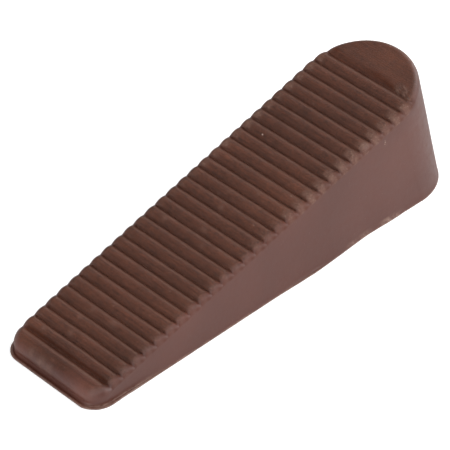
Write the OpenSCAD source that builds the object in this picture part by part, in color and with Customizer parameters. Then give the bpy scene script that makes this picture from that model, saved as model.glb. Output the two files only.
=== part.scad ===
// Ribbed door wedge: one solid rubber moulding with a drafted body, a sloped
// top face carrying transverse rounded ribs, a D-shaped smooth landing at the
// thick end, a rounded nose at the thin end and a thin rim around the foot.
//
// Frame: +X runs from the thin toe to the thick heel, +Y to the left,
// +Z up.  The origin is the middle of the flat base.  Millimetres.
// Sloped frame: u runs up the slope and w out of the face, from the point of
// the groove-root plane above the toe end of the base.

/* [Overall size] */
// Overall length of the base, toe to heel
length = 120; // [112:0.5:126]
// Width of the ribbed face, the same along its whole length
top_width = 32; // [30:0.2:33]
// Width of the base at the heel, rim included
base_width = 36.4; // [36:0.1:37.5]
// Slope of the ribbed face over the base, degrees
slope = 13.75; // [12:0.25:15]
// Height of the groove-root plane above the base, at the toe end
toe_height = 2.5; // [2.3:0.02:3.2]
// Lean of the heel wall from vertical, degrees
heel_draft = 4.4; // [3:0.1:7]

/* [Ribs] */
// Number of ribs across the sloped face
rib_count = 28; // [20:1:28]
// Spacing of the ribs, measured along the slope
rib_pitch = 3.68; // [3.4:0.02:3.7]
// Height of a rib crest above the groove root
rib_height = 1.2; // [0.8:0.05:1.3]
// Distance from the toe to the first groove, along the base
first_groove = 6.6; // [6:0.1:7]

/* [Landing and edges] */
// Height of the smooth heel landing above the groove roots
landing_height = 1; // [0.4:0.05:1.1]
// Radius of the heel corners at the top face, across the width
heel_top_radius = 15.9; // [12:0.1:15.9]
// Length of the rounded heel end at the top face, along the slope
heel_round = 16.4; // [14:0.1:18]
// Radius of the heel corners at the base
heel_base_radius = 13.3; // [11:0.1:14]
// Radius of the roll-over along the top edges
edge_roll = 1.8; // [1:0.1:2]
// Radius of the rounded nose at the toe
nose_radius = 2.3; // [2:0.1:2.6]

/* [Rim] */
// How far the rim stands out around the toe
rim_width = 0.95; // [0.6:0.05:1.2]
// Thickness of the rim
rim_thickness = 0.5; // [0.4:0.05:0.8]
// Corner radius of the rim at the toe
toe_radius = 5.8; // [5:0.1:7]

/* [Quality] */
// Facets on the rounded corners
facets = 64; // [32:8:96]

/* [Hidden] */

toe_x = -length / 2;
heel_x = length / 2;
slope_tan = tan(slope);
slope_cos = cos(slope);
profile_facets = 72;      // nose and rib arcs
toe_facets = 32;          // toe corners of the body
flare_facets = 24;        // small circles along the side walls
layer = 0.01;             // thickness of the slices that the envelope is hulled from

// Ribs are ellipse tops, a little longer than the pitch so that neighbours
// cross at the groove roots
rib_half_length = 0.509 * rib_pitch;
// height of that crossing, as a fraction of the ellipse's half height
rib_crossing = sqrt(1 - pow(rib_pitch / 2 / rib_half_length, 2));
rib_half_height = rib_height / (1 - rib_crossing);
ribs_start_u = first_groove / slope_cos;
ribs_end_u = ribs_start_u + rib_count * rib_pitch;

// Where the leaning heel wall meets the groove-root plane
heel_u = (length - tan(heel_draft) * toe_height) / (1 + tan(heel_draft) * slope_tan) / slope_cos;

// Top outline
top_w = rib_height + 0.08;
toe_top_radius = 4.6;
toe_top_u = 5.2;          // centre of the toe corners
// edge roll-over, as fractions of edge_roll: [drop below the top, inset]
roll_steps = [[1, 0], [0.62, 0.08], [0.3, 0.29], [0.08, 0.62], [0, 1]];

// Foot of the body, without the rim
half_base_toe = top_width / 2 - 0.2;
half_base_heel = base_width / 2 - 0.15;
foot_heel_inset = 0.1;    // from the heel end of the rim
foot_toe_x = toe_x + rim_width - 0.2;
foot_toe_radius = 4.9;
flare_radius = 1;
// side wall circles: [distance from the toe, y of the centre]
flare_stations = [[28, half_base_toe - 0.1], [84, half_base_heel - 1.35]];

// Rim
rim_half_toe = half_base_toe + 0.9 * rim_width;
rim_half_heel = base_width / 2;

// Centre of the nose arc, and the line where its front turns down to the base
nose_x = rim_width + nose_radius;    // from the toe, along the base
nose_w = rib_height - nose_radius;
nose_u = (nose_x + nose_w * sin(slope)) / slope_cos;
nose_lap = 0.03;          // how far the solid behind the nose stays inside its arc
nose_front_u = nose_u - nose_radius * slope_cos + nose_lap;

// Side view limits
depth = 40;               // reaches below the base everywhere
past_heel_u = heel_u + 4; // reaches beyond the heel wall
landing_bottom_w = -0.6;

// places its children in the sloped frame, with w along z
module on_slope() {
    translate([toe_x, 0, toe_height]) rotate([0, -slope, 0]) children();
}

// a copy of the children on each side of the centreline
module both_sides(x, y) {
    for (side = [-1, 1]) translate([x, side * y]) children();
}

// one slice of the top outline, pulled in by "inset", its upper face at w
module top_level(w, inset) {
    radius = heel_top_radius - inset;
    half_width = top_width / 2 - inset;
    translate([0, 0, w - layer]) linear_extrude(layer) {
        both_sides(heel_u - heel_round, max(half_width - radius, 0.01))
            scale([(heel_round - inset) / radius, 1]) circle(r = radius, $fn = facets);
        both_sides(toe_top_u, half_width - toe_top_radius)
            circle(r = toe_top_radius, $fn = toe_facets);
    }
}

// circles whose hull is the outline of the body at the base
module foot_outline() {
    both_sides(heel_x - foot_heel_inset - heel_base_radius, half_base_heel - heel_base_radius)
        circle(r = heel_base_radius, $fn = facets);
    // the side walls flare towards the heel
    for (station = flare_stations)
        both_sides(toe_x + station[0], station[1]) circle(r = flare_radius, $fn = flare_facets);
    both_sides(foot_toe_x + foot_toe_radius, half_base_toe - foot_toe_radius)
        circle(r = foot_toe_radius, $fn = toe_facets);
}

// leaning walls from the base up to the rolled-over top edges, closed just
// above the rib crests
module envelope() {
    hull() {
        linear_extrude(layer) foot_outline();
        on_slope()
            for (step = roll_steps)
                top_level(top_w - edge_roll * step[0], edge_roll * step[1]);
    }
}

// side view of the nose: an arc level with the rib crests, then straight down
module nose_profile() {
    translate([nose_u, nose_w]) circle(r = nose_radius, $fn = profile_facets);
    polygon([
        [nose_u, rib_height - nose_lap],
        [ribs_start_u - rib_pitch / 2, rib_height - nose_lap],
        [ribs_start_u + 0.5, -1.2],
        [ribs_start_u + 0.5, -depth],
        [nose_front_u - (depth + nose_w) * slope_tan, -depth],
        [nose_front_u, nose_w]
    ]);
}

// side view of the smooth landing, with a short ramp out of the last groove
module landing_profile() {
    polygon([
        [ribs_end_u - 0.5, landing_bottom_w],
        [ribs_end_u + 0.55, landing_height - 0.1],
        [ribs_end_u + 1.1, landing_height],
        [past_heel_u, landing_height],
        [past_heel_u, landing_bottom_w]
    ]);
}

// side view of the body, drawn with u across and w up
module slope_profile() {
    // solid below the ribs
    polygon([
        [ribs_start_u, -0.5],
        [past_heel_u, -0.5],
        [past_heel_u, -depth],
        [ribs_start_u, -depth]
    ]);
    // an extra ellipse before the first groove ends the nose
    for (k = [-1 : rib_count - 1])
        translate([ribs_start_u + (k + 0.5) * rib_pitch, rib_height - rib_half_height])
            scale([rib_half_length, rib_half_height]) circle(r = 1, $fn = profile_facets);
    landing_profile();
    nose_profile();
}

// thin rim around the foot, widest at the toe
module rim() {
    // left edge, toe to heel
    left = [
        [toe_x, rim_half_toe - toe_radius],
        [toe_x + toe_radius, rim_half_toe],
        [toe_x + 70, rim_half_heel - 0.5],
        [heel_x - heel_base_radius, rim_half_heel],
        [heel_x, rim_half_heel - heel_base_radius]
    ];
    right = [for (i = [len(left) - 1 : -1 : 0]) [left[i][0], -left[i][1]]];
    linear_extrude(rim_thickness) union() {
        both_sides(toe_x + toe_radius, rim_half_toe - toe_radius)
            circle(r = toe_radius, $fn = facets);
        both_sides(heel_x - heel_base_radius, rim_half_heel - heel_base_radius)
            circle(r = heel_base_radius, $fn = facets);
        polygon(concat(left, right));
    }
}

// the whole moulding: the side view cut to the envelope, plus the rim
module wedge_body() {
    color([0.40, 0.28, 0.25]) union() {
        intersection() {
            envelope();
            on_slope()
                translate([0, top_width, 0]) rotate([90, 0, 0])
                    linear_extrude(2 * top_width) slope_profile();
        }
        rim();
    }
}

wedge_body();
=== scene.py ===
"""Ribbed rubber wedge with a thin rim of flash round its foot, on a pale floor.

It lies along X: the thin toe is at the low X end and the thick heel at the high X end.
The right wall faces -Y and the left wall +Y. Lengths are in millimetres until the mesh
is made. The sloping top has its own coordinates: u runs up the slope from the toe,
y across it, and w stands square to it, with w = 0 at the groove roots.
"""
import math
from collections import namedtuple

import bpy
import numpy as np
from mathutils import Matrix, Vector


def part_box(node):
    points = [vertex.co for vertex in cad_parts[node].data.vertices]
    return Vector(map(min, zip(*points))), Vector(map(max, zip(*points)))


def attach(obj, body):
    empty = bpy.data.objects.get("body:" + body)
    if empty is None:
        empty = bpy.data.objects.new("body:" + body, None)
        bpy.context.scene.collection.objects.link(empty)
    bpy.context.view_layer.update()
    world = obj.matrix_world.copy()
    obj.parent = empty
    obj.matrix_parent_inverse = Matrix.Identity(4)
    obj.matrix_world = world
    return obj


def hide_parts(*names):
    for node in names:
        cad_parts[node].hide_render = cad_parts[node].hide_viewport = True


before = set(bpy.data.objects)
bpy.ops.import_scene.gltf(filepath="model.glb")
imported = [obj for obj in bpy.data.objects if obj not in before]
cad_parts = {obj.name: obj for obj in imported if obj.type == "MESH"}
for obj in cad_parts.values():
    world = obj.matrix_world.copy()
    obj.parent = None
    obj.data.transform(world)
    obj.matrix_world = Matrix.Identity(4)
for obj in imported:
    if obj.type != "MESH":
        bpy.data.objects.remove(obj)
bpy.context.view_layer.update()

# ---- sizes ------------------------------------------------------------------
body_lo, body_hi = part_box("wedge_body")
LENGTH = (body_hi[0] - body_lo[0]) * 1000.0
TOE_X = body_lo[0] * 1000.0
MID_Y = (body_lo[1] + body_hi[1]) * 500.0
BASE_Z = body_lo[2] * 1000.0

SLOPE = math.radians(13.75)
COS_SLOPE, SIN_SLOPE = math.cos(SLOPE), math.sin(SLOPE)
TOE_HEIGHT = 2.50

# ribs: half ellipses that just overlap at the groove roots
PITCH = 3.68
RIB_COUNT = 28
RIB_HEIGHT = 1.22
RIB_SEMI_U = 1.018 * PITCH / 2
RIB_CUT = math.sqrt(1 - (PITCH / 2 / RIB_SEMI_U) ** 2)   # part of the ellipse cut off below
RIB_SEMI_W = RIB_HEIGHT / (1 - RIB_CUT)
FIRST_GROOVE = 6.58 / COS_SLOPE
LAST_GROOVE = FIRST_GROOVE + RIB_COUNT * PITCH
ROOT_LIFT, ROOT_SLOPE = 0.05, 0.25       # small fillet in the groove roots

# plain nose before the ribs and plain landing after them
TOE_WALL_U = 0.9
HEEL_WALL_U = 121.08 * LENGTH / 120.0
ROLL_SIDE, ROLL_HEEL, ROLL_NOSE = 1.85, 1.6, 3.2         # radii of the rolled top edge
NOSE_HEIGHT = 1.30
NOSE_CREST = TOE_WALL_U + ROLL_NOSE
NOSE_RADIUS = ((FIRST_GROOVE - NOSE_CREST) ** 2 + NOSE_HEIGHT ** 2) / (2 * NOSE_HEIGHT)
LAND_HEIGHT = 1.00

# how the grooves run out round the rolled edge
RUN_OUT_POWER, RUN_OUT_REST = 1.35, 0.02

# outline of the top, in (u, y)
TOP_HALF = 15.98
TOE_RADIUS = 4.6
HEEL_SEMI_Y, HEEL_SEMI_U = 15.90, 16.40
HEEL_SKEW = 0.025
TOE_ARC_U, TOE_ARC_Y = TOE_WALL_U + TOE_RADIUS, TOP_HALF - TOE_RADIUS
HEEL_ARC_U, HEEL_ARC_Y = HEEL_WALL_U - HEEL_SEMI_U, TOP_HALF - HEEL_SEMI_Y

# outline of the foot, in (x from the toe, y)
RIM_HALF_TOE, RIM_FLARE = 16.58, 0.0148
RIM_THICK = 0.5
TOE_FOOT_RADIUS, HEEL_FOOT_RADIUS = 4.9, 13.3
TOE_FOOT_X, HEEL_FOOT_X = 0.86, LENGTH - 0.1

# mesh steps
STEPS_PER_RIB = 14
ROWS = 96                                # steps across the width
NOSE_ARC_STEPS, NOSE_STRAIGHT_STEPS, LAND_STEPS = 12, 8, 30
NOSE_STEPS = NOSE_ARC_STEPS + NOSE_STRAIGHT_STEPS
ROLL_RINGS, WALL_RINGS = 12, 18
# angle round each corner where the side edge hands over to the end edge
TOE_SPLIT, HEEL_SPLIT = math.radians(45), math.radians(48)


# ---- numeric helpers ----------------------------------------------------------
def smooth(start, end, x):
    """Smooth step from 0 at start to 1 at end."""
    t = np.clip((np.asarray(x, float) - start) / (end - start), 0.0, 1.0)
    return t * t * (3 - 2 * t)


def bell(x, centre, width):
    return np.exp(-((x - centre) / width) ** 2)


def fraction(x):
    return x - np.floor(x)


def lattice_hash(ix, iy, iz, seed):
    h = (ix.astype(np.int64) * 374761393 + iy.astype(np.int64) * 668265263
         + iz.astype(np.int64) * 2147483647 + seed * 1274126177) & 0xFFFFFFFF
    h = ((h ^ (h >> 13)) * 1274126177) & 0xFFFFFFFF
    h = ((h ^ (h >> 16)) * 2246822519) & 0xFFFFFFFF
    return ((h ^ (h >> 15)) & 0xFFFFFF) / float(0xFFFFFF)


def value_noise(x, y, z, seed):
    """Smooth lattice noise in -1..1, the same each run."""
    x, y, z = np.broadcast_arrays(np.asarray(x, float), np.asarray(y, float),
                                  np.asarray(z, float))
    cells = [np.floor(axis) for axis in (x, y, z)]
    fades = []
    for axis, cell in zip((x, y, z), cells):
        t = axis - cell
        fades.append(t * t * (3 - 2 * t))
    total = 0
    for corner in np.ndindex(2, 2, 2):
        wx, wy, wz = [fade if step else 1 - fade for fade, step in zip(fades, corner)]
        ix, iy, iz = [cell + step for cell, step in zip(cells, corner)]
        total = total + wx * wy * wz * lattice_hash(ix, iy, iz, seed)
    return total * 2 - 1


def fractal_noise(x, y, z, seed, octaves=3):
    total, weight, weights = 0, 1.0, 0.0
    for k in range(octaves):
        total = total + weight * value_noise(x * 2 ** k, y * 2 ** k, z * 2 ** k, seed + 17 * k)
        weights += weight
        weight *= 0.5
    return total / weights


# ---- profile of the top --------------------------------------------------------
def top_height(u):
    """Height w of the top: nose, ribs, then landing."""
    phase = np.clip((u - FIRST_GROOVE) / PITCH, 0, RIB_COUNT - 1e-9)
    off = (fraction(phase) - 0.5) * PITCH
    rib = RIB_SEMI_W * (np.sqrt(1 - (off / RIB_SEMI_U) ** 2) - RIB_CUT)
    rib = np.maximum(rib, ROOT_LIFT - ROOT_SLOPE * (PITCH / 2 - np.abs(off)))
    past_crest = np.maximum(u - NOSE_CREST, 0)
    arc = np.sqrt(np.maximum(NOSE_RADIUS ** 2 - past_crest ** 2, 0))
    nose = NOSE_HEIGHT - (NOSE_RADIUS - arc)
    nose = np.maximum(nose, ROOT_LIFT - ROOT_SLOPE * (FIRST_GROOVE - u))
    past_ribs = np.maximum(u - LAST_GROOVE, 0)
    land = LAND_HEIGHT * (1 - np.exp(-past_ribs / 0.55)) + ROOT_LIFT * np.exp(-past_ribs / 0.1)
    return np.where(u < FIRST_GROOVE, nose, np.where(u > LAST_GROOVE, land, rib))


def nose_rib_land(values, to_ribs, to_land):
    """Blend three values, given how far each change has gone."""
    nose, rib, land = values
    return nose * (1 - to_ribs) + rib * to_ribs * (1 - to_land) + land * to_land


def crest_height(u):
    """Height of the un-grooved envelope at u."""
    return nose_rib_land((NOSE_HEIGHT, RIB_HEIGHT, LAND_HEIGHT),
                         smooth(NOSE_CREST + 1.0, FIRST_GROOVE + 0.5, u),
                         smooth(LAST_GROOVE - 0.8, LAST_GROOVE + 1.5, u))


def roll_radius(u):
    return nose_rib_land((ROLL_NOSE, ROLL_SIDE, ROLL_HEEL),
                         smooth(TOE_WALL_U + 1.0, FIRST_GROOVE + 1.5, u),
                         smooth(LAST_GROOVE - 3.0, LAST_GROOVE + 4.0, u))


# ---- outlines -------------------------------------------------------------------
# side is -1 for the right wall (-Y) and +1 for the left wall (+Y)
def rim_half(x, side):
    """Half width to the rim's outer edge; the right rim is torn away short of the heel."""
    full = RIM_HALF_TOE + RIM_FLARE * x
    if side > 0:
        return full
    return full + 0.30 * bell(x, 69, 7.0) - 0.66 * bell(x, 89, 9.0) - 0.30 * smooth(94, 102, x)


def foot_half(x, side):
    """Half width of the wall where it meets the rim."""
    wall = RIM_HALF_TOE + RIM_FLARE * x - 0.90 + 0.62 * smooth(4, 26, x) + 0.16 * smooth(30, 90, x)
    return np.minimum(wall, rim_half(x, side) - 0.10)


HEEL_FOOT_HALF = float(foot_half(108.0, 1))
RIGHT_HEEL_LOSS = HEEL_FOOT_HALF - float(foot_half(108.0, -1))
TOE_FOOT_ARC_X = TOE_FOOT_X + TOE_FOOT_RADIUS
TOE_FOOT_ARC_Y = float(foot_half(6.0, 1)) - TOE_FOOT_RADIUS
HEEL_FOOT_ARC_X = HEEL_FOOT_X - HEEL_FOOT_RADIUS
HEEL_FOOT_ARC_Y = HEEL_FOOT_HALF - HEEL_FOOT_RADIUS

# wall point at the top (u, y), its outward normal, the foot point (x, y) below, roll radius
EdgePoint = namedtuple("EdgePoint", "top normal foot roll")


def edge_point(top, normal, foot, roll_at=None):
    at = top[0] if roll_at is None else roll_at
    return EdgePoint(top, normal, foot, float(roll_radius(at)))


def toe_corner(side, angle):
    """Angle 0 faces the side, a quarter turn faces the toe."""
    normal = np.array([-math.sin(angle), side * math.cos(angle)])
    return edge_point(np.array([TOE_ARC_U, side * TOE_ARC_Y]) + TOE_RADIUS * normal, normal,
                      np.array([TOE_FOOT_ARC_X, side * TOE_FOOT_ARC_Y])
                      + TOE_FOOT_RADIUS * normal)


def heel_corner(side, angle, roll_at=None):
    """Angle 0 faces the side, a quarter turn faces the heel."""
    sin_a, cos_a = math.sin(angle), math.cos(angle)
    normal = np.array([HEEL_SEMI_Y * sin_a, side * HEEL_SEMI_U * cos_a])
    normal = normal / np.linalg.norm(normal)
    top = np.array([HEEL_ARC_U + HEEL_SEMI_U * sin_a, side * (HEEL_ARC_Y + HEEL_SEMI_Y * cos_a)])
    top[0] += HEEL_SKEW * top[1] * sin_a * sin_a
    loss = RIGHT_HEEL_LOSS * cos_a * cos_a if side < 0 else 0.0
    foot = np.array([HEEL_FOOT_ARC_X + HEEL_FOOT_RADIUS * sin_a,
                     side * (HEEL_FOOT_ARC_Y + HEEL_FOOT_RADIUS * cos_a - loss)])
    return edge_point(top, normal, foot, roll_at)


def straight_wall(side, u):
    along = (u - TOE_ARC_U) / (HEEL_ARC_U - TOE_ARC_U)
    toe_shift = TOE_FOOT_ARC_X - TOE_ARC_U * COS_SLOPE
    heel_shift = HEEL_FOOT_ARC_X - HEEL_ARC_U * COS_SLOPE
    x = u * COS_SLOPE
    x = x + toe_shift * (1 - smooth(0, 0.25, along)) + heel_shift * smooth(0.5, 1.0, along)
    return edge_point(np.array([u, side * TOP_HALF]), np.array([0.0, float(side)]),
                      np.array([x, side * float(foot_half(x, side))]))


def heel_angle(u):
    """Angle round the heel whose edge, drawn in by the roll radius, falls at u."""
    roll = float(roll_radius(u))
    low, high = 0.0, math.pi / 2
    for _ in range(50):
        middle = (low + high) / 2
        sin_a, cos_a = math.sin(middle), math.cos(middle)
        normal_length = math.hypot(HEEL_SEMI_Y * sin_a, HEEL_SEMI_U * cos_a)
        reached = HEEL_ARC_U + HEEL_SEMI_U * sin_a - roll * HEEL_SEMI_Y * sin_a / normal_length
        low, high = (middle, high) if reached < u else (low, middle)
    return (low + high) / 2


def rib_edge(side, u):
    if u <= HEEL_ARC_U:
        return straight_wall(side, u)
    return heel_corner(side, heel_angle(u), roll_at=u)


def side_edge(side, rib_columns):
    """Edge points of one side, from the toe corner to the heel corner."""
    points = [toe_corner(side, TOE_SPLIT * (1 - k / NOSE_ARC_STEPS))
              for k in range(NOSE_ARC_STEPS)]
    points += [straight_wall(side, TOE_ARC_U + (FIRST_GROOVE - TOE_ARC_U) * k
                             / NOSE_STRAIGHT_STEPS) for k in range(NOSE_STRAIGHT_STEPS + 1)]
    points += [rib_edge(side, u) for u in rib_columns[1:]]
    start = heel_angle(LAST_GROOVE)
    points += [heel_corner(side, start + (HEEL_SPLIT - start) * k / LAND_STEPS)
               for k in range(1, LAND_STEPS + 1)]
    return points


def end_edge(corner, split, radii, flats, wall_u, foot_x, facing):
    """Edge points of one end, right to left. radii and flats are (top, foot) pairs."""
    turn = math.pi / 2 - split
    arc = turn * (radii[0] + radii[1]) / 2
    flat = flats[0] + flats[1]
    total = 2 * arc + flat
    points = []
    for j in range(ROWS + 1):
        s = total * j / ROWS
        if s < arc:
            points.append(corner(-1, split + turn * s / arc))
        elif s > arc + flat:
            points.append(corner(1, split + turn * (total - s) / arc))
        else:
            across = (s - arc) / flat * 2 - 1
            points.append(edge_point(np.array([wall_u, across * flats[0]]),
                                     np.array([facing, 0.0]),
                                     np.array([foot_x, across * flats[1]])))
    return points


# rib columns crowd towards the groove roots
steps = np.linspace(0, 1, STEPS_PER_RIB + 1)[:-1]
steps = steps - 0.085 * np.sin(2 * np.pi * steps)
rib_columns = np.concatenate([FIRST_GROOVE + (k + steps) * PITCH for k in range(RIB_COUNT)]
                             + [[LAST_GROOVE]])

right_edge = side_edge(-1, rib_columns)
left_edge = side_edge(1, rib_columns)
toe_edge = end_edge(toe_corner, TOE_SPLIT, radii=(TOE_RADIUS, TOE_FOOT_RADIUS),
                    flats=(TOE_ARC_Y, TOE_FOOT_ARC_Y), wall_u=TOE_WALL_U,
                    foot_x=TOE_FOOT_X, facing=-1.0)
heel_edge = end_edge(heel_corner, HEEL_SPLIT, radii=(HEEL_SEMI_Y, HEEL_FOOT_RADIUS),
                     flats=(HEEL_ARC_Y, HEEL_FOOT_ARC_Y), wall_u=HEEL_WALL_U,
                     foot_x=HEEL_FOOT_X, facing=1.0)
COLUMNS = len(right_edge)

# ---- grid of the top --------------------------------------------------------------
ROW_T = np.linspace(0, 1, ROWS + 1)[:, None]


def straight_rows(start, end):
    """Evenly spaced points from start to end across the rows."""
    return start[..., None, :] * (1 - ROW_T) + end[..., None, :] * ROW_T


def drawn_in(edge):
    """Edge points moved in by the roll radius."""
    return np.array([p.top - p.roll * p.normal for p in edge])


grid = straight_rows(drawn_in(right_edge), drawn_in(left_edge))


def fill_end(first, last, first_line, last_line):
    """Bend columns first..last to follow the lines at their two ends."""
    for i in range(first, last + 1):
        s = (i - first) / (last - first)
        line = first_line * (1 - s) + last_line * s
        grid[i] = grid[i] + line - straight_rows(line[0], line[-1])


last_rib_column = NOSE_STEPS + len(rib_columns) - 1
fill_end(0, NOSE_STEPS, drawn_in(toe_edge), grid[NOSE_STEPS].copy())
fill_end(last_rib_column, COLUMNS - 1, grid[last_rib_column].copy(), drawn_in(heel_edge))

# slow irregularities of the moulding
even_u, top_y = grid[..., 0], grid[..., 1]
in_ribs = (smooth(FIRST_GROOVE - 1.0, FIRST_GROOVE + 1.0, even_u)
           * (1 - smooth(LAST_GROOVE - 1.0, LAST_GROOVE + 0.5, even_u)))
top_w = top_height(even_u)
top_w = (top_w + 0.03 * fractal_noise(even_u / 9.0, top_y / 9.0, 0.3, 3)
         + 0.015 * fractal_noise(even_u / 1.5, top_y / 2.5, 0.7, 5))
top_u = even_u + (in_ribs * (0.08 + 0.16 * (1 - smooth(8, 40, even_u)))
                  * fractal_noise(even_u / 5.0, top_y / 7.0, 2.2, 9))
top_w = top_w + in_ribs * 0.04 * fractal_noise(top_u / 3.0, top_y / 6.0, 4.2, 15)


def from_slope(u, y, w):
    """Slope coordinates to part coordinates."""
    return np.stack([TOE_X + u * COS_SLOPE - w * SIN_SLOPE, MID_Y + y,
                     BASE_Z + TOE_HEIGHT + u * SIN_SLOPE + w * COS_SLOPE], -1)


# ---- rings below the top -------------------------------------------------------------
# Round the edge: right side to the heel, heel to the left, left side to the toe, back again.
edge_i = np.concatenate([np.arange(COLUMNS), np.full(ROWS - 1, COLUMNS - 1),
                         np.arange(COLUMNS)[::-1], np.zeros(ROWS - 1, int)])
edge_j = np.concatenate([np.zeros(COLUMNS, int), np.arange(1, ROWS),
                         np.full(COLUMNS, ROWS), np.arange(ROWS - 1, 0, -1)])
edge = right_edge + heel_edge[1:-1] + left_edge[::-1] + toe_edge[-2:0:-1]
RING = len(edge)
normal = np.array([p.normal for p in edge])
foot_plan = np.array([p.foot for p in edge])
roll = np.array([p.roll for p in edge])
edge_u, edge_y = even_u[edge_i, edge_j], top_y[edge_i, edge_j]
edge_w = top_w[edge_i, edge_j]
edge_drift = top_u[edge_i, edge_j] - edge_u
edge_crest = crest_height(edge_u)
groove_depth = edge_crest - edge_w       # how far the edge lies below the crests
outward = np.column_stack([normal / np.linalg.norm(normal, axis=1)[:, None], np.zeros(RING)])

rings = []                               # (kind, fraction of the way across it, points)
for k in range(1, ROLL_RINGS + 1):
    a = math.pi / 2 * k / ROLL_RINGS
    # the grooves carry on round the rolled edge and run out on the wall just below it
    kept = (1 - RUN_OUT_REST) * max(math.cos(a), 0.0) ** RUN_OUT_POWER + RUN_OUT_REST
    radius = roll - groove_depth * kept
    out = radius * math.sin(a)
    points = from_slope(edge_u + normal[:, 0] * out + edge_drift * math.cos(a),
                        edge_y + normal[:, 1] * out,
                        edge_crest - roll + radius * math.cos(a))
    rings.append(("roll", k / ROLL_RINGS, points))

wall_top = from_slope(edge_u + normal[:, 0] * roll, edge_y + normal[:, 1] * roll,
                      edge_crest - roll)
foot_x, foot_y = foot_plan[:, 0], foot_plan[:, 1]
foot = np.stack([TOE_X + foot_x, MID_Y + foot_y, np.full(RING, BASE_Z + 0.62 * RIM_THICK)], -1)
wall_length = np.linalg.norm(wall_top - foot, axis=1)
for k in range(1, WALL_RINGS + 1):
    f = (k / WALL_RINGS) ** 1.35
    points = wall_top * (1 - f) + foot * f
    x, y, z = points.T
    swell = (0.05 * fractal_noise(x / 14.0, y / 14.0, z / 10.0, 21)
             + 0.012 * fractal_noise(x / 2.0, y / 2.0, z / 2.0, 23))
    swell = swell * math.sin(math.pi * min(f * 1.02, 1.0)) ** 0.5
    swell = swell - groove_depth * RUN_OUT_REST * (1 - smooth(0.0, 1.3, f * wall_length))
    rings.append(("wall", f, points + outward * swell[:, None]))

# rim of mould flash round the foot, with a ragged outer edge
foot_steps = np.linalg.norm(np.diff(foot_plan, axis=0), axis=1)
foot_run = np.concatenate([[0], np.cumsum(foot_steps)])
ragged = 0.5 + 0.5 * fractal_noise(foot_run / 1.7, 0.0, 0.0, 31, octaves=4)
ragged_fine = 0.5 + 0.5 * value_noise(foot_run / 0.9, 3.3, 0.0, 37)
side_x = np.clip(foot_x, 6, 108)
rim_mean = np.where(foot_y < 0, rim_half(side_x, -1) - foot_half(side_x, -1),
                    rim_half(side_x, 1) - foot_half(side_x, 1))
past_toe = smooth(4.0, 9.0, foot_x)
at_heel = smooth(104, 112, foot_x)
rim_mean = rim_mean * past_toe + 0.95 * (1 - past_toe)
rim_mean = rim_mean * (1 - at_heel) + 0.12 * at_heel
rim_width = (rim_mean * (0.98 + 0.20 * (ragged - 0.5))
             - 0.05 * ragged_fine * smooth(84, 88, foot_x) * (1 - smooth(100, 104, foot_x)))
rim_width = np.maximum(rim_width, 0.05)
rim_thick = RIM_THICK * (0.92 + 0.12 * (ragged - 0.5))

# a raised bead where the rim is wide, a plain bevel where it is narrow
right_toe_corner = (1 - smooth(-14.5, -9.5, foot_y)) * (1 - smooth(9, 14, foot_x))
bead = smooth(0.30, 0.70, rim_mean) * (1 - 0.45 * right_toe_corner)
# fraction of the rim width, height as a bead, height as a bevel (fractions of thickness)
RIM_PROFILE = [
    (0.12, 0.58, 0.60), (0.35, 0.72, 0.57), (0.62, 0.93, 0.52),
    (0.86, 1.0, 0.45), (0.98, 0.76, 0.37), (1.0, 0.55, 0.28),
    (1.0, 0.30, 0.18), (0.985, 0.12, 0.09), (0.93, 0.0, 0.0),
]
for across, bead_z, bevel_z in RIM_PROFILE:
    points = (np.stack([TOE_X + foot_x, MID_Y + foot_y, np.full(RING, BASE_Z)], -1)
              + outward * (rim_width * across)[:, None])
    points[:, 2] = BASE_Z + rim_thick * (bead_z * bead + bevel_z * (1 - bead))
    rings.append(("rim", across, points))


# ---- mesh -----------------------------------------------------------------------------
def grid_quads(ids):
    return np.stack([ids[:-1, :-1], ids[1:, :-1], ids[1:, 1:], ids[:-1, 1:]], -1).reshape(-1, 4)


TOP_COUNT = COLUMNS * (ROWS + 1)
UNDER_START = TOP_COUNT + len(rings) * RING
top_ids = np.arange(TOP_COUNT).reshape(COLUMNS, ROWS + 1)
faces = [grid_quads(top_ids)]
upper = top_ids[edge_i, edge_j]
for k in range(len(rings)):
    lower = TOP_COUNT + k * RING + np.arange(RING)
    faces.append(np.stack([upper, lower, np.roll(lower, -1), np.roll(upper, -1)], -1))
    upper = lower

# underside: the same grid inside the last ring; the ends keep their shape only close to them
border = np.zeros((COLUMNS, ROWS + 1, 2))
border[edge_i, edge_j] = rings[-1][2][:, :2]
toe_line, heel_line = border[0], border[-1]
along = np.linspace(0, 1, COLUMNS)[:, None, None]
under = (straight_rows(border[:, 0], border[:, -1])
         + (1 - smooth(0, 0.08, along)) * (toe_line - straight_rows(toe_line[0], toe_line[-1]))
         + smooth(0.9, 1.0, along) * (heel_line - straight_rows(heel_line[0], heel_line[-1])))
inner = under[1:-1, 1:-1].reshape(-1, 2)
under_ids = np.zeros((COLUMNS, ROWS + 1), int)
under_ids[edge_i, edge_j] = upper
under_ids[1:-1, 1:-1] = UNDER_START + np.arange(len(inner)).reshape(COLUMNS - 2, ROWS - 1)
faces.append(grid_quads(under_ids)[:, [0, 3, 2, 1]])

vertices = np.concatenate([from_slope(top_u, top_y, top_w).reshape(-1, 3)]
                          + [points for _, _, points in rings]
                          + [np.column_stack([inner, np.full(len(inner), BASE_Z)])]) / 1000.0
# never outside the CAD box
vertices = np.clip(vertices, np.array(body_lo)[None], np.array(body_hi)[None])

mesh = bpy.data.meshes.new("wedge_rubber")
mesh.from_pydata(vertices.tolist(), [], np.concatenate(faces).tolist())
mesh.validate()
mesh.update()
mesh.polygons.foreach_set("use_smooth", [True] * len(mesh.polygons))
wedge = bpy.data.objects.new("wedge_rubber", mesh)
bpy.context.scene.collection.objects.link(wedge)

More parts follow.
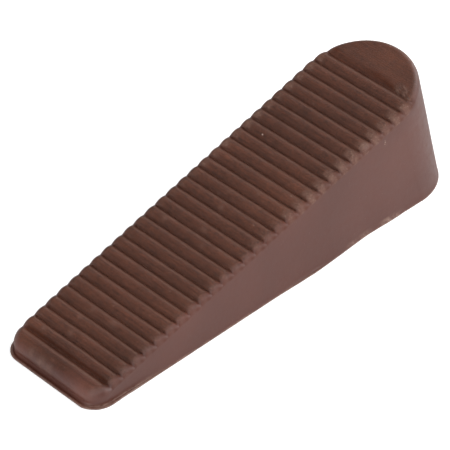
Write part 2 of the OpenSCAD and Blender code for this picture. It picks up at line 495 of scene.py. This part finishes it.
# ---- marks on the surface -----------------------------------------------------------------
# every table: x, y, z, radius in millimetres in the part's own frame, then strength
CRACKED = [
    (47.5, -9.5, 29.7, 0.75, 1.0), (47.1, -11.3, 29.4, 0.8, 1.0),
    (46.9, -12.8, 29.1, 0.7, 0.9), (48.3, -10.4, 29.9, 0.5, 0.7),
]
SCUFFS = CRACKED + [
    (30.3, -15.2, 25.6, 1.0, 0.60), (36.2, -16.0, 23.4, 0.35, 1.0), (34.6, -15.7, 25.2, 0.30, 1.0),
    (-22.9, -16.4, 5.3, 0.16, 0.4), (-22.9, -16.5, 4.5, 0.16, 0.45), (-22.8, -16.6, 3.7, 0.17, 0.5),
    (-22.7, -16.7, 2.9, 0.17, 0.45), (-22.5, -16.7, 2.1, 0.17, 0.4),
    (-22.2, -16.8, 1.4, 0.15, 0.35), (-51.9, 9.8, 5.7, 0.45, 0.8), (-58.0, 7.3, 3.7, 0.9, 0.75),
    (-58.4, 3.7, 3.0, 1.1, 0.8), (-58.4, 1.0, 3.0, 0.9, 0.7), (-44.4, 4.9, 7.5, 0.5, 0.8),
    (-41.2, 3.8, 8.3, 0.5, 0.7), (-40.9, -3.2, 8.4, 0.9, 0.55), (-48.9, 3.4, 6.3, 0.6, 0.6),
    (-12.7, 9.5, 15.3, 0.5, 0.8), (-2.5, 0.5, 17.7, 0.5, 0.9), (0.3, 4.5, 17.6, 0.3, 0.8),
    (2.3, 2.3, 18.9, 0.5, 0.6), (-9.5, -1.0, 16.0, 0.6, 0.7), (-13.2, -4.1, 15.1, 0.4, 0.7),
    (5.2, -4.3, 19.7, 0.35, 0.7), (8.4, -14.8, 20.3, 0.7, 0.7), (30.6, 0.9, 25.9, 0.25, 0.9),
    (32.8, 4.9, 26.1, 0.25, 0.7), (34.5, 9.3, 26.7, 0.25, 0.7),
]
SPECKS = [
    (18.8, 8.3, 22.9, 0.24, 1.0), (36.2, -15.85, 24.2, 0.26, 0.8), (36.2, -15.9, 23.7, 0.28, 0.9),
    (36.05, -15.95, 23.2, 0.24, 0.8), (35.4, -15.7, 25.4, 0.24, 0.9),
    (37.5, -15.8, 24.8, 0.16, 0.7), (38.4, -16.0, 22.9, 0.16, 0.7),
    (34.3, -15.6, 25.6, 0.18, 0.7), (30.5, -15.2, 25.7, 1.6, 0.045),
]
# broad lighter (+) and darker (-) areas
TONES = [
    (9.0, -11.0, 20.0, 5.5, 1.0), (-9.0, -11.0, 16.0, 4.5, 0.55), (-31.0, -11.5, 10.7, 4.0, 1.0),
    (-2.0, 3.0, 17.6, 6.0, -0.35), (-13.0, -4.0, 15.0, 5.0, -0.30), (43.6, 14.1, 28.8, 4.0, 0.60),
    (41.7, 2.8, 28.5, 3.5, 0.30), (44.5, -16.5, 22.0, 6.0, 0.75), (36.5, -17.0, 16.0, 8.0, 0.75),
    (11.7, 12.9, 21.0, 4.0, 0.50), (-49.9, 12.0, 5.5, 4.5, 0.90), (-42.6, -3.5, 7.3, 3.0, 0.20),
    (-58.3, -10.8, 3.0, 2.6, 3.2), (-57.8, 13.0, 3.2, 3.5, 1.5), (-5.1, -0.2, 17.3, 3.0, 0.40),
    (-55.5, 3.5, 5.0, 3.6, -1.00), (-44.3, -9.8, 7.7, 5.0, -0.60), (13.5, -17.0, 11.0, 9.0, -0.45),
    (25.9, 5.8, 24.8, 8.0, -0.40), (37.0, -9.0, 27.0, 5.0, -0.75), (51.0, -3.0, 30.8, 5.0, 0.30),
    (44.5, 2.0, 29.0, 2.5, -0.25), (48.9, -11.6, 29.9, 1.4, 0.2), (-57.0, -14.5, 2.5, 2.2, -0.7),
    (46.6, -14.8, 28.8, 1.2, -1.0), (50.7, -12.2, 30.5, 1.8, -0.6), (3.5, -7.5, 19.0, 4.0, 0.60),
    (-27.0, -7.0, 11.8, 3.0, -0.50), (57.0, -2.0, 32.0, 4.5, 0.50), (52.5, 8.0, 31.0, 6.0, 0.30),
    (-53.0, -13.5, 4.0, 3.0, -0.50),
]
# pale lengths of the right rim: x, half length, strength
PALE_RIM = [(37.8, 1.6, 0.5), (35.0, 1.9, 1.0), (27.5, 1.8, 0.6), (23.0, 1.5, 0.6),
            (-46.0, 6.0, 0.5), (-55.5, 3.0, 0.5)]

place = vertices * 1000.0
place_x, place_y, place_z = place.T
place_u = (place_x - TOE_X) / COS_SLOPE
COUNT = len(mesh.vertices)


def spot(x, y, z, radius):
    """Round soft spot, 1 at its centre."""
    return np.exp(-((place - np.array([x, y, z])) ** 2).sum(1) / (2 * radius * radius))


def strongest_spot(table):
    marks = np.zeros(COUNT)
    for x, y, z, radius, strength in table:
        marks = np.maximum(marks, strength * spot(x, y, z, radius))
    return marks


def ring_slices(wanted):
    """Vertex slice and fraction of each ring of one kind."""
    for k, (kind, f, _) in enumerate(rings):
        if kind == wanted:
            yield slice(TOP_COUNT + k * RING, TOP_COUNT + (k + 1) * RING), f


# crest: 0 in the grooves, 1 on the ribs; wall: 0 top, 0..1 rolled edge, 1 wall, 2 rim
crest = np.full(COUNT, 0.5)
wall = np.ones(COUNT)
crest[:TOP_COUNT] = (np.clip(top_w, 0, None) / RIB_HEIGHT).reshape(-1)
wall[:TOP_COUNT] = 0.0
for part, f in ring_slices("roll"):
    wall[part] = f
    crest[part] = np.clip(edge_w / RIB_HEIGHT, 0, 1) * (1 - 0.6 * f) + 0.6 * f * 0.5
for part, f in ring_slices("rim"):
    wall[part] = 2.0

# broad lighter and darker areas; painted light and shade across the ribs and rolled edge are added
# below
haze = np.zeros(COUNT)
for x, y, z, radius, strength in TONES:
    haze += strength * spot(x, y, z, radius)

# rubbed rib ends with a painted highlight on their toe-facing side, and a painted highlight line
# along the heel side of every crest, with painted light in the groove roots
rub, line, endmatt = np.zeros(COUNT), np.zeros(COUNT), np.zeros(COUNT)
phase = (even_u - FIRST_GROOVE) / PITCH
on_ribs = (phase > -0.5) & (phase < RIB_COUNT)
rib_part = fraction(phase)
# painted highlight: the rib ends are lightened most on their toe-facing side
toe_side_highlight = 1 + 0.65 * np.cos(2 * np.pi * (rib_part - 0.28))
rub[:TOP_COUNT] = (smooth(12.0, 14.0, np.abs(top_y)) * 1.10 * toe_side_highlight).reshape(-1)
near_root = np.minimum(np.abs(rib_part - 0.02), 1.02 - rib_part)
# on the nose the painted highlight line lies a little nearer the toe
on_nose = phase < 0
crest_highlight = (bell(rib_part, np.where(on_nose, 0.67, 0.76), np.where(on_nose, 0.12, 0.085))
              * np.where(on_nose, 0.85 + 0.3 * smooth(4, -8, top_y), 1.0))
# painted highlight line along the heel side of each crest, and painted light lifting the groove
# roots
line[:TOP_COUNT] = ((crest_highlight + 0.62 * bell(near_root, 0, 0.050)) * on_ribs).reshape(-1)
# painted light and shade across each rib: lighter towards the heel-side crest, darker on the
# toe-facing slope
haze[:TOP_COUNT] += (0.30 * (bell(rib_part, 0.60, 0.17) - 0.75 * bell(rib_part, 0.19, 0.08))
                     * on_ribs).reshape(-1)
edge_part = fraction((edge_u - FIRST_GROOVE) / PITCH)
edge_on_ribs = (edge_u > FIRST_GROOVE) & (edge_u < LAST_GROOVE)
# the same painted highlight weighting on the rolled edge
edge_toe_side_highlight = 1 + 0.70 * np.cos(2 * np.pi * (edge_part - 0.28))
for part, f in ring_slices("roll"):
    # painted shade on the rolled edge over the heel-side part of each rib
    haze[part] -= 0.22 * bell(edge_part, 0.64, 0.14) * edge_on_ribs * math.sin(math.pi * f) ** 0.5
    endmatt[part] = (edge_on_ribs * float(smooth(0.0, 0.45, f))
                     * (0.15 + 0.85 * bell(edge_part, 0.68, 0.18)))
    rub[part] = (1.15 - 0.35 * float(smooth(0.50, 1.0, f))) * edge_toe_side_highlight

cool = smooth(16, 44, place_x) * (wall > 0.6)
cool = np.maximum(cool, 0.7 * spot(-57.5, -9.0, 3.0, 3.2))
cool[UNDER_START:] = 0.0

flash = np.zeros(COUNT)
for x, half_length, strength in PALE_RIM:
    near = (bell(place_x, x, half_length) * (place_y < -12.0)
            * (1 - smooth(0.45, 1.0, place_z)))
    flash = np.maximum(flash, strength * near)
flash[UNDER_START:] = 0.0

# painted shade: at the root of the last groove, on the heel-side flank just before every groove
# root, round the first groove and on the nose top, on the landing beside the last groove, and in
# the crease between wall and rim
roll_foot_highlight, dirt = np.zeros(COUNT), np.zeros(COUNT)
patches = np.clip(fractal_noise(top_u / 2.6, top_y / 4.5, 8.1, 51) + 0.15, 0, 1)
# painted shade on the landing beside the last groove, broken into patches
beside_groove_shade = (smooth(LAST_GROOVE + 0.2, LAST_GROOVE + 0.9, top_u)
          * (1 - smooth(LAST_GROOVE + 1.0, LAST_GROOVE + 3.6, top_u))
          * (0.30 + 0.45 * patches * 2))
beside_groove_shade = (beside_groove_shade * 0.85
          + 0.35 * np.exp(-np.abs(top_u - LAST_GROOVE - 0.2) / 0.5) * (top_u > LAST_GROOVE))
phase = (top_u - FIRST_GROOVE) / PITCH
# painted shade on the heel-side flank of each rib, just before the next groove root
heel_flank_shade = 0.85 * bell(fraction(phase), 0.890, 0.050) * (phase > -0.5) * (phase < RIB_COUNT)
# painted shade in the root of the last groove only
root = 1 - smooth(0.03, 0.36, np.clip(top_w, 0, None) / RIB_HEIGHT)
root = root * (0.50 * smooth(LAST_GROOVE - 0.3, LAST_GROOVE + 0.1, top_u)) + heel_flank_shade
# painted shade just after the first groove, on the nose just before it, and on the nose top
first = (0.75 * bell(phase, 0.10, 0.13) + 0.30 * bell(phase, -0.80, 0.30)
         + 0.60 * bell(phase, -0.19, 0.06))
dirt[:TOP_COUNT] = np.maximum(np.maximum(root, first) * (top_u < LAST_GROOVE + 1.2),
                              1.15 * beside_groove_shade * smooth(-14.5, -9.5, top_y)).reshape(-1)
at_toe = 1 - smooth(3.5, 9.0, foot_x)
# painted shade in the crease between wall and rim, strongest at the toe
crease_shade = (0.02 + 0.72 * at_toe) * (1 - 0.9 * right_toe_corner)
for part, f in ring_slices("roll"):
    # painted highlight along the lower edge of the roll and the top of the wall
    roll_foot_highlight[part] = smooth(0.80, 1.0, f)
for part, f in ring_slices("wall"):
    roll_foot_highlight[part] = 1 - smooth(0.0, 0.35, f * wall_length)
    dirt[part] = crease_shade * (1 - smooth(0.05, 0.25 + 0.65 * at_toe, (1 - f) * wall_length))
for part, f in ring_slices("rim"):
    dirt[part] = crease_shade * (1 - smooth(0.10, 0.45, f))

# wear of the rib ends grows towards the heel and differs from rib to rib
rib_number = np.floor(np.clip((place_u - FIRST_GROOVE) / PITCH, 0, RIB_COUNT - 0.01))
per_rib = 0.5 + 0.5 * value_noise(rib_number * 1.37 + 0.5, place_y / 60.0, 0.5, 61)
ribend = ((0.14 + 0.86 * smooth(40, 105, place_u)) * (0.35 + 0.9 * per_rib)
          * smooth(FIRST_GROOVE - 1.0, FIRST_GROOVE + 1.0, place_u)
          * (1 - 0.85 * smooth(LAST_GROOVE, LAST_GROOVE + 1.5, place_u)))

ATTRIBUTES = {
    "crest": crest,
    "wall": wall,
    "scuff": strongest_spot(SCUFFS),
    "crack": strongest_spot(CRACKED),
    "haze": haze,
    "endmatt": endmatt,
    "rub": np.clip(rub, 0, 1.6),
    "cool": cool,
    "corner_matt": spot(46.8, -14.7, 28.9, 1.6),
    "plain": np.maximum(smooth(LAST_GROOVE, LAST_GROOVE + 1.5, place_u),
                        1 - smooth(FIRST_GROOVE - 1.5, FIRST_GROOVE, place_u)),
    "landing": smooth(112.5, 115.0, place_u) * smooth(-9.0, -3.0, place_y),
    "flash": flash,
    "line": line,
    "dirt": dirt,
    "edge": roll_foot_highlight,
    "ribend": ribend,
}
for name, values in ATTRIBUTES.items():
    attribute = mesh.attributes.new(name, "FLOAT", "POINT")
    attribute.data.foreach_set("value", np.asarray(values, np.float32))


# ---- shader helpers --------------------------------------------------------------------
class Value:
    """A node's output; arithmetic on it adds Math nodes."""

    def __init__(self, graph, socket):
        self.graph = graph
        self.socket = socket

    def __add__(self, other):
        return self.graph.math("ADD", self, other)

    def __radd__(self, other):
        return self.graph.math("ADD", other, self)

    def __sub__(self, other):
        return self.graph.math("SUBTRACT", self, other)

    def __rsub__(self, other):
        return self.graph.math("SUBTRACT", other, self)

    def __mul__(self, other):
        return self.graph.math("MULTIPLY", self, other)

    def __pow__(self, other):
        return self.graph.math("POWER", self, other)

    def __abs__(self):
        return self.graph.math("ABSOLUTE", self)

    def clamped(self):
        """Limit the Math node just made to 0..1."""
        self.socket.node.use_clamp = True
        return self


class Graph:
    """Adds nodes to one node tree."""

    def __init__(self, tree):
        self.tree = tree

    def put(self, node, inputs):
        for key, value in inputs.items():
            if isinstance(value, Value):
                self.tree.links.new(value.socket, node.inputs[key])
            else:
                node.inputs[key].default_value = value

    def node(self, kind, inputs={}, output=0, **settings):
        node = self.tree.nodes.new("ShaderNode" + kind)
        for name, value in settings.items():
            setattr(node, name, value)
        self.put(node, inputs)
        return Value(self, node.outputs[output])

    def math(self, operation, *operands):
        return self.node("Math", dict(enumerate(operands)), operation=operation)

    def largest(self, first, *others):
        for other in others:
            first = self.math("MAXIMUM", first, other)
        return first

    def vector(self, operation, a, b, output=0):
        return self.node("VectorMath", {0: a, 1: b}, output, operation=operation)

    def attribute(self, name):
        return self.node("Attribute", output="Fac", attribute_name=name)

    def noise(self, at, scale, detail=3.0, roughness=0.55, distortion=0.0):
        return self.node("TexNoise", {"Vector": at, "Scale": scale, "Detail": detail,
                                      "Roughness": roughness, "Distortion": distortion})

    def cell_distance(self, at, scale):
        return self.node("TexVoronoi", {"Vector": at, "Scale": scale}, "Distance")

    def ramp(self, value, span, to=(0.0, 1.0)):
        """Smooth change between the two values of `to` as value crosses span."""
        return self.node("MapRange", {"Value": value, "From Min": span[0], "From Max": span[1],
                                      "To Min": to[0], "To Max": to[1]},
                         interpolation_type="SMOOTHSTEP")

    def mix(self, factor, a, b):
        return self.node("Mix", {0: factor, 6: a, 7: b}, 2, data_type="RGBA")


# ---- rubber -------------------------------------------------------------------------------
BASE_WALL = (0.0750, 0.0212, 0.0132, 1.0)
BASE_TOP = (0.0735, 0.0224, 0.0108, 1.0)
BASE_COOL = (0.0755, 0.0236, 0.0164, 1.0)
# pale bloom colour, also used for the painted highlights
BLOOM_AND_HIGHLIGHT = (0.136, 0.066, 0.046, 1.0)
PALE = (0.300, 0.195, 0.150, 1.0)
SMEAR = (0.250, 0.148, 0.112, 1.0)
CRACK = (0.016, 0.0060, 0.0040, 1.0)
# colour of the painted shade
SHADE_BROWN = (0.036, 0.0090, 0.0040, 1.0)
SPECK = (0.62, 0.47, 0.40, 1.0)

material = bpy.data.materials.new("rubber")
material.use_nodes = True
material.node_tree.nodes.clear()
g = Graph(material.node_tree)
noise, ramp, mix, attribute = g.noise, g.ramp, g.mix, g.attribute

# texture coordinates in millimetres
point = g.vector("MULTIPLY", g.node("TexCoord", output="Object"), (1000.0, 1000.0, 1000.0))
crest, wall, dirt, end = [attribute(n) for n in ("crest", "wall", "dirt", "ribend")]
scuff, crack, haze, highlight_line = [attribute(n) for n in ("scuff", "crack", "haze", "line")]

# masks
on_roll = ramp(wall, span=(0.06, 0.40)) * ramp(wall, span=(0.93, 1.0), to=(1.0, 0.0))
on_wall = ramp(wall, span=(0.85, 1.05))
on_rim = ramp(wall, span=(1.6, 2.0))
on_top = ramp(wall, span=(0.5, 0.05))
knob = (attribute("rub") * end).clamped() * ramp(crest, span=(0.35, 0.7))

# tone of the rubber: broad clouding, mottling, grain, and streaks drawn out along the ribs
cloud = noise(point, scale=0.06, roughness=0.5, distortion=0.4)
mottle = noise(point, scale=0.55, detail=4.0, roughness=0.6, distortion=0.3)
grain = noise(point, scale=2.3, roughness=0.7)
streak = noise(g.vector("MULTIPLY", point, (3.0, 0.13, 3.0)), scale=1.0, roughness=0.6)
tone = 1.0 + (cloud - 0.5) * 0.36
tone = tone + (mottle - 0.5) * ramp(wall, span=(0.1, 0.9), to=(0.75, 0.20))
tone = tone + ((grain - 0.5) * ramp(wall, span=(0.1, 0.9), to=(2.2, 0.22))
               * ramp(attribute("plain"), span=(0.0, 1.0), to=(1.0, 0.55)))
tone = tone + (streak - 0.5) * 1.35 * on_top
# broad lighter and darker areas, with the painted light and shade across the ribs and rolled edge
tone = tone * (1.0 + haze * 0.22)
base = mix(ramp(wall, span=(0.60, 0.05)), BASE_WALL, BASE_TOP)
base = mix(attribute("cool"), base, BASE_COOL)
color = g.node("VectorMath", {0: base, "Scale": tone}, operation="SCALE")

# dry bloom and painted highlights: the strongest of several places
bloom_cloud = noise(point, scale=0.9, detail=5.0, roughness=0.65, distortion=0.6)
bloom_fleck = noise(g.vector("MULTIPLY", point, (1.6, 0.5, 1.6)), scale=1.0, detail=4.0,
                    roughness=0.7, distortion=0.3)
bloom_and_highlight = g.largest(
    # rubbed rib ends, with a painted highlight on their toe-facing side
    knob * ramp(bloom_cloud, span=(0.34, 0.64), to=(0.30, 1.0)),
    # painted highlight on the rolled edge, where its specular is turned down
    (on_roll * end).clamped() * 0.26,
    # painted highlight lines along the crests, and painted light in the groove roots
    highlight_line * ramp(bloom_fleck, span=(0.32, 0.62), to=(0.20, 0.80)),
    # lighter areas, and painted light across the ribs
    (haze * 0.07).clamped(),
    # flecks along the crests
    ramp(crest, span=(0.80, 1.0)) * on_top * ramp(bloom_fleck, span=(0.56, 0.74), to=(0.0, 0.55)),
    # thin on the walls
    on_wall * ramp(bloom_cloud, span=(0.45, 0.75), to=(0.0, 0.05)),
    # painted highlight on the lower edge of the roll at the rib ends
    (attribute("edge") * end).clamped() * ramp(bloom_cloud, span=(0.38, 0.66), to=(0.22, 0.65)),
    # rolled edge at the heel
    on_roll * attribute("landing") * ramp(bloom_cloud, span=(0.35, 0.65), to=(0.40, 0.80)),
    # scuffs
    scuff * ramp(bloom_cloud, span=(0.35, 0.6), to=(0.35, 1.0)),
)
color = mix(bloom_and_highlight, color, BLOOM_AND_HIGHLIGHT)

# worn-through pale flecks: scattered on the top, in scuffs, on rib ends and on the rim
scattered = (ramp(g.cell_distance(point, scale=0.42), span=(0.10, 0.05))
             * ramp(noise(point, scale=0.23, detail=2.0), span=(0.60, 0.66)))
in_scuffs = (ramp(scuff - crack, span=(0.55, 0.95))
             * ramp(noise(point, scale=2.4, roughness=0.6), span=(0.56, 0.70), to=(0.0, 0.55)))
on_ends = knob * ramp(noise(point, scale=1.9, roughness=0.6), span=(0.54, 0.70), to=(0.0, 0.45))
along_rim = (on_rim * ramp(dirt, span=(0.3, 0.0))
             * ramp(noise(point, scale=0.8, roughness=0.6), span=(0.35, 0.7), to=(0.12, 0.42)))
pale_lengths = attribute("flash") * ramp(noise(point, scale=1.1, roughness=0.6),
                                         span=(0.38, 0.58), to=(0.15, 0.85))
fleck = g.largest(scattered * 0.6 * on_top, g.largest(in_scuffs, on_ends),
                  along_rim, pale_lengths)
color = mix(fleck, color, PALE)

# smears and cracks, in skewed coordinates that draw them out in one direction
skewed = g.node("CombineXYZ", {
    0: g.vector("DOT_PRODUCT", point, (1.00, -0.58, 0.20), "Value"),
    1: g.vector("DOT_PRODUCT", point, (0.17, 0.29, 0.04), "Value"),
})
smear = noise(skewed, scale=0.85, roughness=0.6, distortion=0.5)
crack_noise = noise(skewed, scale=1.05, roughness=0.65, distortion=0.5)
color = mix(crack * ramp(smear, span=(0.50, 0.62), to=(0.0, 0.70)), color, SMEAR)
crack_line = (ramp(abs(crack_noise - 0.5), span=(0.035, 0.0))
              * ramp(crack, span=(0.30, 0.75)))
color = mix(crack_line * 0.65, color, CRACK)
# painted shade in the groove roots, on the nose, beside the last groove and in the wall-rim crease
color = mix(dirt * 0.60, color, SHADE_BROWN)

# single bright specks of dust
for x, y, z, radius, strength in SPECKS:
    distance = g.vector("DISTANCE", point, (x, y, z), "Value")
    color = mix(ramp(distance, span=(radius, radius * 0.4), to=(0.0, strength)), color, SPECK)

# roughness: drier under the bloom and painted highlights, slightly polished on the crests
rough = 0.45 + (mottle - 0.5) * 0.30
rough = rough + bloom_and_highlight * 0.16
rough = (rough - ramp(crest, span=(0.7, 1.0)) * on_top * 0.05).clamped()

# relief in millimetres: fine and coarse grain, streaks, cracks, and pits in patches
relief = (noise(point, scale=3.2, detail=4.0, roughness=0.6)
          * ramp(wall, span=(0.1, 0.9), to=(0.140, 0.012)))
relief = relief + noise(point, scale=0.8) * ramp(wall, span=(0.1, 0.9), to=(0.070, 0.030))
relief = relief + streak * on_top * 0.040
relief = relief + crack * (crack_noise * 0.6)
pit_patches = ramp(noise(point, scale=0.31, detail=2.0), span=(0.52, 0.60)) * 0.05
relief = relief - ramp(g.cell_distance(point, scale=0.75), span=(0.16, 0.04)) * pit_patches
bump = g.node("Bump", {"Strength": 1.0, "Distance": 0.001, "Height": relief})

# specular level: weaker on rib ends, the right heel corner, grazing views and the painted shade
specular = ramp(wall, span=(0.1, 0.6), to=(0.43, 0.50))
specular = specular * (1.0 - attribute("endmatt") * 0.45)
specular = specular * (1.0 - attribute("corner_matt") * 0.50)
specular = specular * (1.0 - on_roll * ramp(end, span=(0.0, 0.25), to=(0.0, 0.24)))
facing = g.node("LayerWeight", {"Blend": 0.5}, "Facing")
specular = specular * (1.0 - facing ** 3.0 * 0.6)
specular = specular * ramp(dirt, span=(0.0, 1.0), to=(1.0, 0.2))

surface = g.node("BsdfPrincipled", {
    "Base Color": color, "Roughness": rough, "IOR": 1.50,
    "Specular IOR Level": specular, "Normal": bump,
})
g.node_out = g.put(g.tree.nodes.new("ShaderNodeOutputMaterial"), {0: surface})
mesh.materials.append(material)

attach(wedge, "root")
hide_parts("wedge_body")


# ---- floor, light, camera (metres) -----------------------------------------------------------
def build_floor(half=3.0, z=-0.0001):
    floor_mesh = bpy.data.meshes.new("floor")
    corners = [(-half, -half, z), (half, -half, z), (half, half, z), (-half, half, z)]
    floor_mesh.from_pydata(corners, [], [(0, 1, 2, 3)])
    floor = bpy.data.objects.new("floor", floor_mesh)
    bpy.context.scene.collection.objects.link(floor)
    pale = bpy.data.materials.new("floor_pale")
    pale.use_nodes = True
    graph = Graph(pale.node_tree)
    # a little extra light towards the camera keeps the floor evenly pale up to the part
    glow = graph.node("LightPath", output="Is Camera Ray") * 0.32
    graph.put(pale.node_tree.nodes["Principled BSDF"], {
        "Base Color": (0.94, 0.94, 0.94, 1),
        "Roughness": 0.9,
        "Emission Color": (1, 1, 1, 1),
        "Emission Strength": glow,
    })
    floor_mesh.materials.append(pale)


# wide overlapping glows: azimuth and elevation in degrees, strength, tightness (a power)
GLOWS = [
    (90, 12, 0.2, 12), (180, 12, 1.9, 12), (315, 12, 3.3, 12), (67.5, 42, 0.33, 12),
    (202.5, 42, 3.4, 12), (292.5, 42, 5.0, 12), (90, 72, 0.48, 12), (5, 6, 2.4, 60),
    (5, 18, 9.2, 60), (35, 44, 3.1, 60), (200, 8, 0.56, 60),
]


def build_world():
    """Soft studio light; the camera itself sees a plain pale room."""
    studio = bpy.data.worlds.new("studio")
    studio.use_nodes = True
    graph = Graph(studio.node_tree)
    nodes = studio.node_tree.nodes
    direction = graph.node("TexCoord", output="Generated")
    total = 0.0
    for azimuth, elevation, strength, tightness in GLOWS:
        a, e = math.radians(azimuth), math.radians(elevation)
        centre = (math.cos(a) * math.cos(e), math.sin(a) * math.cos(e), math.sin(e))
        towards = graph.vector("DOT_PRODUCT", direction, centre, "Value")
        glow = graph.math("MAXIMUM", towards, 0.0) ** tightness
        total = graph.math("MULTIPLY_ADD", glow, strength, total)
    graph.put(nodes["Background"], {0: (1, 1, 1, 1), 1: total})
    room = graph.node("Background", {0: (1, 1, 1, 1), 1: 1.0})
    seen = graph.node("MixShader", {
        0: graph.node("LightPath", output="Is Camera Ray"),
        1: Value(graph, nodes["Background"].outputs[0]),
        2: room,
    })
    graph.put(nodes["World Output"], {0: seen})
    bpy.context.scene.world = studio


def build_camera():
    """Long lens, from above the right side of the toe."""
    azimuth, elevation = math.radians(-40.645), math.radians(40.563)
    tilt = math.radians(-4.0)
    # where the aim point lies as the camera sees it, in millimetres
    aim = Vector((0, 0, 12.0))
    aim_right, aim_down, aim_ahead = 1.5996, -0.8828, 840.27715
    back = Vector((math.sin(azimuth) * math.cos(elevation),
                   -math.cos(azimuth) * math.cos(elevation), math.sin(elevation)))
    ahead = -back
    level = ahead.cross(Vector((0, 0, 1))).normalized()
    upright = level.cross(ahead)
    right = math.cos(tilt) * level + math.sin(tilt) * upright
    up = -math.sin(tilt) * level + math.cos(tilt) * upright
    position = aim - right * aim_right + up * aim_down - ahead * aim_ahead

    data = bpy.data.cameras.new("camera")
    camera = bpy.data.objects.new("camera", data)
    bpy.context.scene.collection.objects.link(camera)
    data.sensor_width = 36.0
    data.lens = 281.552
    data.clip_start = 0.05
    data.clip_end = 20.0
    matrix = Matrix((right, up, back)).transposed().to_4x4()
    matrix.translation = position / 1000.0
    camera.matrix_world = matrix
    bpy.context.scene.camera = camera


build_floor()
build_world()
view = bpy.context.scene.view_settings
view.view_transform = "Standard"
view.look = "None"
view.exposure = 0.0
build_camera()
